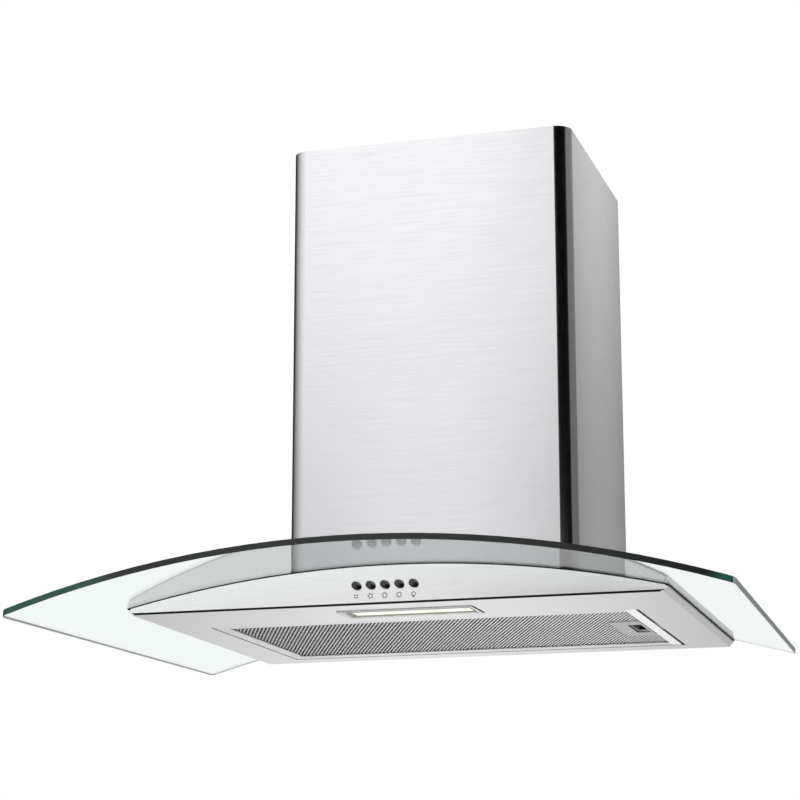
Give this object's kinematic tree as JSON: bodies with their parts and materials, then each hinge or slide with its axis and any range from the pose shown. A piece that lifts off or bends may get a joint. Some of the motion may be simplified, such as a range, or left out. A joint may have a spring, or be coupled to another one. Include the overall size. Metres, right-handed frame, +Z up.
{
  "type": "curved glass range hood",
  "caption": "Wall range hood with an arched glass canopy over a steel body, push buttons, work light, drop-down grease filter, blower and telescoping duct cover.",
  "frame": {"origin": "middle of the hood's back on the wall, level with the underside of its steel body", "axes": "+X along the wall to the right as a cook sees it, +Y into the wall, +Z up"},
  "size_m": [0.5998, 0.457, 0.46],
  "materials": {
    "brushed_steel": "brushed stainless steel, grain across the front",
    "galvanised_steel": "zinc-coated sheet steel",
    "glass": "clear bent float glass, green in its edges",
    "black_rubber": "matte black rubber",
    "filter_aluminium": "expanded and folded aluminium",
    "gloss_black": "gloss black moulded plastic",
    "grey_plastic": "matte grey moulded plastic",
    "black_plastic": "matte black moulded plastic",
    "lamp_lens": "frosted warm white diffuser, lit",
    "zinc_fasteners": "bright zinc-plated steel",
    "motor_steel": "pressed steel motor can over laminations"
  },
  "bodies": {
    "hood": {"glass_canopy": "glass", "glass_gasket": "black_rubber", "glass_washers": "black_rubber", "glass_screws": "zinc_fasteners", "glass_nuts": "zinc_fasteners", "body_pan": "brushed_steel", "front_fascia": "brushed_steel", "fascia_seal": "black_rubber", "top_plate": "galvanised_steel", "lamp_bezel": "filter_aluminium", "lamp_lens": "lamp_lens", "lamp_tray": "galvanised_steel", "led_board": "black_plastic", "switch_housing": "black_plastic", "motor_box": "galvanised_steel", "box_screws": "zinc_fasteners", "box_lid": "galvanised_steel", "lid_screws": "zinc_fasteners", "casing_front": "grey_plastic", "casing_rear": "grey_plastic", "casing_screws": "zinc_fasteners", "motor": "motor_steel", "motor_spider": "galvanised_steel", "motor_bushes": "black_rubber", "spider_screws": "zinc_fasteners", "outlet_spigot": "black_plastic", "outlet_screws": "zinc_fasteners", "flap_pin": "zinc_fasteners", "lower_chimney": "brushed_steel", "chimney_clips": "galvanised_steel", "clip_screws": "zinc_fasteners", "capacitor": "grey_plastic", "junction_box": "black_plastic", "junction_lid": "black_plastic", "cable_grommet": "black_rubber"},
    "impeller": {"impeller": "grey_plastic", "motor_shaft": "zinc_fasteners", "impeller_nut": "zinc_fasteners"},
    "flap_left": {"flap_left": "black_plastic"},
    "flap_right": {"flap_right": "black_plastic"},
    "filter": {"filter_frame": "filter_aluminium", "filter_mesh": "filter_aluminium", "filter_back_mesh": "filter_aluminium", "filter_media": "filter_aluminium", "latch_plate": "filter_aluminium"},
    "filter_latch": {"latch_slide": "filter_aluminium"},
    "upper_chimney": {"upper_chimney": "brushed_steel", "upper_bracket": "galvanised_steel", "bracket_screws": "zinc_fasteners"},
    "push_button_1": {"push_button_1": "gloss_black"},
    "push_button_2": {"push_button_2": "gloss_black"},
    "push_button_3": {"push_button_3": "gloss_black"},
    "push_button_4": {"push_button_4": "gloss_black"},
    "push_button_5": {"push_button_5": "gloss_black"}
  },
  "joints": [
    {"name": "push_button_1_press", "type": "slide", "parent": "hood", "child": "push_button_1", "axis": [0, 1, 0], "range_m": [0, 0.003], "stiffness_N_per_m": 300},
    {"name": "push_button_2_press", "type": "slide", "parent": "hood", "child": "push_button_2", "axis": [0, 1, 0], "range_m": [0, 0.003], "stiffness_N_per_m": 300},
    {"name": "push_button_3_press", "type": "slide", "parent": "hood", "child": "push_button_3", "axis": [0, 1, 0], "range_m": [0, 0.003], "stiffness_N_per_m": 300},
    {"name": "push_button_4_press", "type": "slide", "parent": "hood", "child": "push_button_4", "axis": [0, 1, 0], "range_m": [0, 0.003], "stiffness_N_per_m": 300},
    {"name": "push_button_5_press", "type": "slide", "parent": "hood", "child": "push_button_5", "axis": [0, 1, 0], "range_m": [0, 0.003], "stiffness_N_per_m": 300},
    {"name": "impeller_spin", "type": "hinge", "parent": "hood", "child": "impeller", "pos_m": [0.03, -0.12, 0.14], "axis": [0, 1, 0], "continuous": true},
    {"name": "flap_left_open", "type": "hinge", "parent": "hood", "child": "flap_left", "pos_m": [0, -0.12, 0.25365], "axis": [0, 1, 0], "range_deg": [0, 75]},
    {"name": "flap_right_open", "type": "hinge", "parent": "hood", "child": "flap_right", "pos_m": [0, -0.12, 0.25365], "axis": [0, -1, 0], "range_deg": [0, 75]},
    {"name": "filter_drop", "type": "hinge", "parent": "hood", "child": "filter", "pos_m": [-0.19, -0.1415, 0.0008], "axis": [0, 1, 0], "range_deg": [0, 60]},
    {"name": "latch_pull", "type": "slide", "parent": "filter", "child": "filter_latch", "axis": [-1, 0, 0], "range_m": [0, 0.006], "stiffness_N_per_m": 400},
    {"name": "upper_chimney_rise", "type": "slide", "parent": "hood", "child": "upper_chimney", "axis": [0, 0, 1], "range_m": [0, 0.33]}
  ]
}
